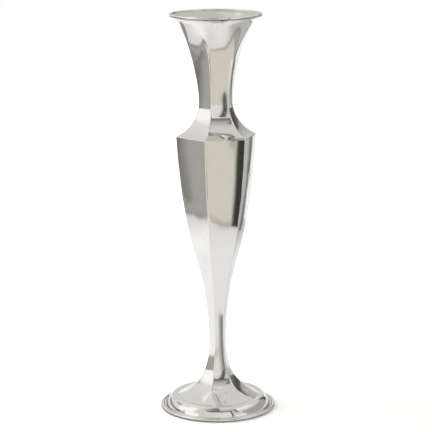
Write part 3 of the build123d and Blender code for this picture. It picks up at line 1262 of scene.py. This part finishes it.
@dataclass(frozen=True)
class Studio:
    """White paper on a pale table, with a window on the left and plain cards for the silver to mirror.

    To the camera the floor and the surroundings are white. Lengths are in metres.
    """

    camera: PhotoCamera
    floor_size: float = 6.0
    paper_edges: tuple[tuple[float, float], ...] = ((50.0, 0.29), (0.0, 0.395), (-66.0, 0.37))
    paper_shadow: float = 0.035
    paper_wave: float = 0.05
    paper_white: float = 0.86
    near_glow: float = 0.36
    far_glow: float = 0.4
    lamp_azimuth: float = -96.0
    lamp_reach: float = 1.7
    lamp_height: float = 1.3
    lamp_size: float = 1.3
    lamp_power: float = 26.0
    cards: tuple[Card, ...] = (
        Card("room_back", (-180.0, -90.0), ((2.6, 0.0), (2.6, 2.5), (0.02, 2.5)), Tone.ROOM, Tone.PALE),
        Card("room_left", (-90.0, 0.0), ((2.6, 0.0), (2.6, 2.5), (0.02, 2.5)), Tone.PALE, Tone.ROOM),
        Card("room_right", (0.0, 180.0), ((2.6, 0.0), (2.6, 2.5), (0.02, 2.5)), Tone.ROOM),
        Card("far_left_table", (-150.0, -97.5), ((0.6, 0.002), (2.3, 0.002), (2.3, 0.34)), Tone.SHADE),
        Card("left_leg", (-105.0, -97.5), ((0.76, 0.003), (2.2, 0.003), (2.2, 0.34)), Tone.DUSK),
        Card("left_table", (-97.5, -92.0), ((0.5, 0.002), (2.3, 0.002), (2.3, 0.4)), Tone.DUSK, Tone.GREY),
        Card("left_corner", (-92.0, -79.0), ((0.5, 0.002), (2.3, 0.002), (2.3, 0.4)), Tone.GREY),
        Card(
            "left_screen",
            (-79.0, -45.0),
            ((0.42, 0.002), (1.4, 0.002), (1.4, 0.6)),
            Tone.WHITE,
            Tone.SAND,
        ),
        Card("left_sheet", (-79.0, -45.0), ((1.38, 0.06), (1.38, 0.5)), Tone.WINDOW),
        Card("left_pillar", (-124.0, -106.0), ((0.5, 0.24), (0.5, 0.38)), Tone.GREY),
        Card("ceiling_lamp", (-140.0, -105.0), ((1.7, 2.42), (1.1, 2.42)), Tone.WHITE),
        Card("left_lamp", (-86.0, -60.0), ((1.75, 0.6), (1.75, 2.2)), Tone.WINDOW),
        Card("window", (-103.0, -86.0), ((2.2, 0.4), (2.2, 1.25)), Tone.WINDOW),
        Card("window_top", (-103.0, -86.0), ((2.2, 1.25), (2.2, 2.3)), Tone.WINDOW, last_tone=Tone.ROOM),
        Card("front_wall", (-52.0, 31.0), ((2.4, 0.0), (2.4, 1.9)), Tone.SAND, Tone.PALE),
        Card("front_rail", (-30.0, 60.0), ((2.35, 1.84), (2.35, 2.02)), Tone.DUSK),
        Card(
            "front_valance",
            (-30.0, 60.0),
            ((2.35, 2.02), (2.3, 2.45), (1.2, 2.45)),
            Tone.DUSK,
            last_tone=Tone.ROOM,
        ),
        Card("lamp_back", (-19.0, 4.0), ((0.8, 0.66), (0.8, 1.2)), Tone.DUSK),
        Card("overhead_edge", (-60.0, -24.0), ((0.12, 0.6), (0.6, 0.6)), Tone.PALE, Tone.GREY),
        Card("overhead_card", (-24.0, 6.0), ((0.12, 0.6), (0.6, 0.6)), Tone.SHADE, Tone.DUSK),
        Card("lamp_bar", (41.0, 46.0), ((1.75, 1.2), (1.75, 2.4)), Tone.DUSK),
        Card("right_lamp", (48.0, 112.0), ((1.75, 1.3), (1.75, 2.4)), Tone.WHITE, Tone.PALE),
        Card("stand_foot", (-14.0, 6.0), ((0.42, 0.003), (0.62, 0.003)), Tone.DARK),
        Card(
            "dark_post",
            (32.2, 33.4),
            ((0.84, 0.003), (1.0, 0.003), (1.0, 0.85)),
            Tone.DARK,
            last_ends=(29.9, 34.4),
        ),
        Card("right_cloth", (38.0, 66.0), ((0.5, 0.002), (2.3, 0.002), (2.3, 0.5)), Tone.WHITE, Tone.PALE),
        Card("right_wall", (60.0, 140.0), ((2.4, 0.0), (2.4, 1.3)), Tone.GREY),
        Card("right_door", (139.0, 148.0), ((2.35, 0.1), (2.35, 1.3)), Tone.DUSK, Tone.DARK),
        Card("right_gap", (147.6, 150.8), ((0.5, 0.004), (2.3, 0.004), (2.3, 1.5)), Tone.DUSK, Tone.DARK),
        Card("back_paper", (150.8, 206.0), ((0.6, 0.002), (2.3, 0.002), (2.3, 0.4)), Tone.WHITE),
        Card("back_wall", (150.8, 170.0), ((2.3, 0.4), (2.3, 1.4)), Tone.GREY, Tone.ROOM),
        Card("back_beam", (160.0, 208.0), ((0.9, 2.3), (1.6, 2.3)), Tone.DUSK, Tone.GREY),
        Card("black_card_edge", (31.0, 34.2), ((0.062, 0.145), (0.076, 0.235)), Tone.SAND, Tone.DARK),
        Card("black_card", (34.2, 41.0), ((0.062, 0.145), (0.076, 0.235)), Tone.DARK),
        Card("card_cap", (28.0, 44.0), ((0.056, 0.2405), (0.082, 0.2405)), Tone.PALE),
        Card("card_base", (22.0, 43.0), ((0.053, 0.138), (0.067, 0.138)), Tone.PALE),
        Card("low_card", (26.0, 35.0), ((0.0745, 0.024), (0.0745, 0.055)), Tone.ROOM, Tone.DARK),
        Card(
            "black_slip",
            (-19.5, -18.5),
            ((0.07, 0.212), (0.07, 0.2345)),
            Tone.DARK,
            last_ends=(-19.5, -13.5),
        ),
    )

    def hang_cards(self) -> None:
        """Hangs the cards so that they show in reflections alone."""
        material = bpy.data.materials.new("studio_card")
        material.use_nodes = True
        board = MaterialBoard(material.node_tree)
        light = board.add("Emission")
        board.join(board.add("Attribute", attribute_name="tone").outputs["Color"], light.inputs["Color"])
        board.join(light.outputs["Emission"], board.add("OutputMaterial").inputs["Surface"])
        for card in self.cards:
            thing = place_mesh(card.name, card.mesh(self.camera.azimuth), material)
            thing.visible_camera = False
            thing.visible_diffuse = False
            thing.visible_shadow = False

    def along(
        self, board: MaterialBoard, place: bpy.types.NodeSocket, turn: float
    ) -> bpy.types.NodeSocket:
        """Measures how far a place lies from the vase's axis in one direction.

        Args:
            board: Board of the floor's material.
            place: Socket of the place.
            turn: Direction in degrees to the right of the camera.

        Returns:
            The distance's socket.
        """
        angle = math.radians(turn + self.camera.azimuth)
        node = board.add("VectorMath", operation="DOT_PRODUCT")
        board.join(place, node.inputs[0])
        node.inputs[1].default_value = (math.sin(angle), -math.cos(angle), 0.0)
        return node.outputs["Value"]

    def mirrored_paper(self, board: MaterialBoard) -> bpy.types.NodeSocket:
        """Colours the floor as the silver sees it: paper with painted light and shade, the vase's painted
        contact shadow, the shadow under its wavy edge and the table.

        Args:
            board: Board of the floor's material.

        Returns:
            The colour's socket.
        """
        place = board.add("TexCoord").outputs["Object"]
        right = self.along(board, place, 90.0)
        front = self.along(board, place, 0.0)
        wave = board.math("SUBTRACT", board.noise(place, 16.0), 0.5)
        gaps = [
            board.math("SUBTRACT", self.along(board, place, turn), reach)
            for turn, reach in self.paper_edges
        ]
        gap = gaps[0]
        for other in gaps[1:]:
            gap = board.math("MAXIMUM", gap, other)
        beyond = board.math("ADD", board.math("MULTIPLY", wave, self.paper_wave), gap)
        # Painted light and shade on the paper: lighter towards the window on the left, darker at the far
        # left, at the front and to the right.
        lit = board.ramp(right, -0.08, -0.28)
        paper = board.blend(lit, Tone.PAPER.value, Tone.BRIGHT_PAPER.value)
        paper_shade = board.math("MAXIMUM", board.ramp(right, -0.29, -0.42), board.ramp(front, 0.15, 0.3))
        paper = board.blend(paper_shade, paper, Tone.SHADED_PAPER.value)
        paper = board.blend(board.ramp(right, 0.13, 0.3), paper, Tone.DIM_PAPER.value)
        # Painted contact shadow of the vase on the paper round its foot.
        contact_shadow = board.ramp(board.length(place), 0.068, 0.05)
        paper = board.blend(board.math("MULTIPLY", contact_shadow, 0.75), paper, Tone.DUSK.value)
        side = board.math("MULTIPLY", front, 0.75)
        side = board.math("SUBTRACT", board.math("ABSOLUTE", right), side)
        table = board.blend(board.ramp(side, 0.08, 0.26), Tone.SAND.value, Tone.GREY.value)
        edge = board.ramp(beyond, self.paper_shadow, 0.004)
        table = board.blend(board.math("MULTIPLY", edge, 0.65), table, Tone.DUSK.value)
        return board.blend(board.ramp(beyond, -0.004, 0.006), paper, table)

    def mirrored_rays(self, board: MaterialBoard, rays: bpy.types.Node) -> bpy.types.NodeSocket:
        """Tells rays that left metal or glass from the others.

        Args:
            board: Board of the material.
            rays: Its Light Path node.

        Returns:
            The socket that is 1 for such rays.
        """
        return board.math("MAXIMUM", rays.outputs["Is Glossy Ray"], rays.outputs["Is Transmission Ray"])

    def floor(self) -> None:
        """Lays the floor: white to the camera with the vase's shadow, paper on a table in reflections."""
        mesh = bmesh.new()
        bmesh.ops.create_grid(mesh, x_segments=2, y_segments=2, size=self.floor_size / 2)
        material = bpy.data.materials.new("floor_paper")
        material.use_nodes = True
        board = MaterialBoard(material.node_tree)
        leave = board.add("OutputMaterial")
        rays = board.add("LightPath")
        mirrored = self.mirrored_rays(board, rays)
        paper = board.add("BsdfDiffuse")
        board.feed(paper.inputs["Color"], (self.paper_white,) * 3)
        white = board.add("Emission")
        reach = board.length(board.add("TexCoord").outputs["Object"])
        glow = board.math("MULTIPLY", board.ramp(reach, 0.25, 1.1), self.far_glow)
        glow = board.math("ADD", glow, self.near_glow)
        board.join(board.math("MULTIPLY", rays.outputs["Is Camera Ray"], glow), white.inputs["Strength"])
        seen = board.add("AddShader")
        board.join(paper.outputs["BSDF"], seen.inputs[0])
        board.join(white.outputs["Emission"], seen.inputs[1])
        mirror = board.add("Emission")
        board.join(self.mirrored_paper(board), mirror.inputs["Color"])
        mix = board.add("MixShader")
        board.join(mirrored, mix.inputs["Fac"])
        board.join(seen.outputs["Shader"], mix.inputs[1])
        board.join(mirror.outputs["Emission"], mix.inputs[2])
        board.join(mix.outputs["Shader"], leave.inputs["Surface"])
        place_mesh("floor", mesh, material)

    def surroundings(self) -> None:
        """Makes the world: white to the camera and in mirrors, a soft pale light elsewhere."""
        world = bpy.data.worlds.new("surroundings")
        bpy.context.scene.world = world
        world.use_nodes = True
        board = MaterialBoard(world.node_tree)
        leave = board.add("OutputWorld")
        rays = board.add("LightPath")
        white = board.add("Background")
        white.inputs["Color"].default_value = (1.0, 1.0, 1.0, 1.0)
        soft = board.add("Background")
        soft.inputs["Color"].default_value = (0.6, 0.585, 0.55, 1.0)
        mix = board.add("MixShader")
        clear = self.mirrored_rays(board, rays)
        board.join(board.math("MAXIMUM", clear, rays.outputs["Is Camera Ray"]), mix.inputs["Fac"])
        board.join(soft.outputs["Background"], mix.inputs[1])
        board.join(white.outputs["Background"], mix.inputs[2])
        board.join(mix.outputs["Shader"], leave.inputs["Surface"])

    def window_light(self) -> None:
        """Lights the scene softly from the window's side, for the shadow and the felt."""
        data = bpy.data.lights.new("window_light", "AREA")
        data.shape = "SQUARE"
        data.size = self.lamp_size
        data.energy = self.lamp_power
        turn = math.radians(self.lamp_azimuth + self.camera.azimuth)
        aim = Vector((math.sin(turn), -math.cos(turn), 0.0))
        place = aim * self.lamp_reach + Vector((0.0, 0.0, self.lamp_height))
        lamp = bpy.data.objects.new("window_light", data)
        facing = (Vector((0.0, 0.0, 0.1)) - place).to_track_quat("-Z", "Y")
        lamp.matrix_world = Matrix.LocRotScale(place, facing, None)
        lamp.visible_glossy = False
        bpy.context.scene.collection.objects.link(lamp)

    def set_up(self) -> None:
        """Builds the whole studio."""
        bpy.context.scene.view_settings.view_transform = "Standard"
        self.floor()
        self.hang_cards()
        self.surroundings()
        self.window_light()


def dress_node(name: str, finish: bpy.types.Material) -> None:
    """Gives a CAD node that stays its finish.

    Args:
        name: Name of the node.
        finish: Material to wear.
    """
    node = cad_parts[name]
    node.data.materials.clear()
    node.data.materials.append(finish)
    log.info("%s: CAD node dressed", name)


def main() -> None:
    """Builds the pieces in order and reports each one."""
    logging.basicConfig(level=logging.INFO, format="%(name)s %(message)s")
    sheet = SilverFinish("sheet_silver").make()
    wire = SilverFinish("wire_silver", polish=0.07, tarnish_share=0.12).make()
    neck_dents = (
        Dent(-13.3, 302.8, 0.03, 1.3),
        Dent(-74.6, 310.5, 0.05, 1.6),
        Dent(140.0, 318.0, 0.05, 1.7),
    )
    body_dents = (
        Dent(-5.1, 223.1, 0.06, 1.3),
        Dent(-23.8, 220.9, 0.04, 1.1),
        Dent(-16.6, 208.4, 0.05, 1.2),
        Dent(-13.5, 189.6, 0.06, 1.3),
        Dent(-21.1, 174.4, 0.03, 1.3),
        Dent(-7.3, 132.0, 0.05, 1.2),
        Dent(-10.4, 129.2, 0.06, 1.3),
        Dent(-86.6, 187.8, 0.07, 1.6),
        Dent(62.0, 210.0, 0.06, 1.5),
        Dent(128.0, 190.0, 0.07, 1.6),
        Dent(-150.0, 170.0, 0.06, 1.4),
    )
    foot_dents = (
        Dent(-66.8, 13.9, 0.07, 1.3),
        Dent(40.0, 18.0, 0.06, 1.4),
        Dent(170.0, 22.0, 0.06, 1.4),
    )
    pieces = (
        TrumpetNeck(sheet, hand_work=HandWork(seed=1.3, dents=neck_dents)),
        PanelledBody(sheet, hand_work=HandWork(seed=4.1, dents=body_dents)),
        WeightedFoot(sheet, hand_work=HandWork(seed=7.7, swell=0.04, dents=foot_dents)),
        ReededBorder(wire, hand_work=HandWork(seed=2.9, swell=0.03)),
        MouthWire(wire, hand_work=HandWork(seed=5.3, swell=0.05)),
    )
    for piece in pieces:
        piece.build()
    BaizePad(BaizeFinish().make()).build()
    inner_metals = (
        ("stem_plug", PlainMetalFinish("plug_brass", (0.72, 0.56, 0.32), (0.4, 0.29, 0.15))),
        ("base_plate", PlainMetalFinish("plate_brass", (0.7, 0.55, 0.33), (0.42, 0.31, 0.17))),
        ("reinforcing_rod", PlainMetalFinish("rod_steel", (0.5, 0.5, 0.51), (0.27, 0.25, 0.23))),
    )
    for node, finish in inner_metals:
        dress_node(node, finish.make())
    dress_node("foot_filling", PitchFinish().make())
    camera = PhotoCamera()
    camera.place()
    Studio(camera).set_up()


if __name__ == "__main__":
    main()
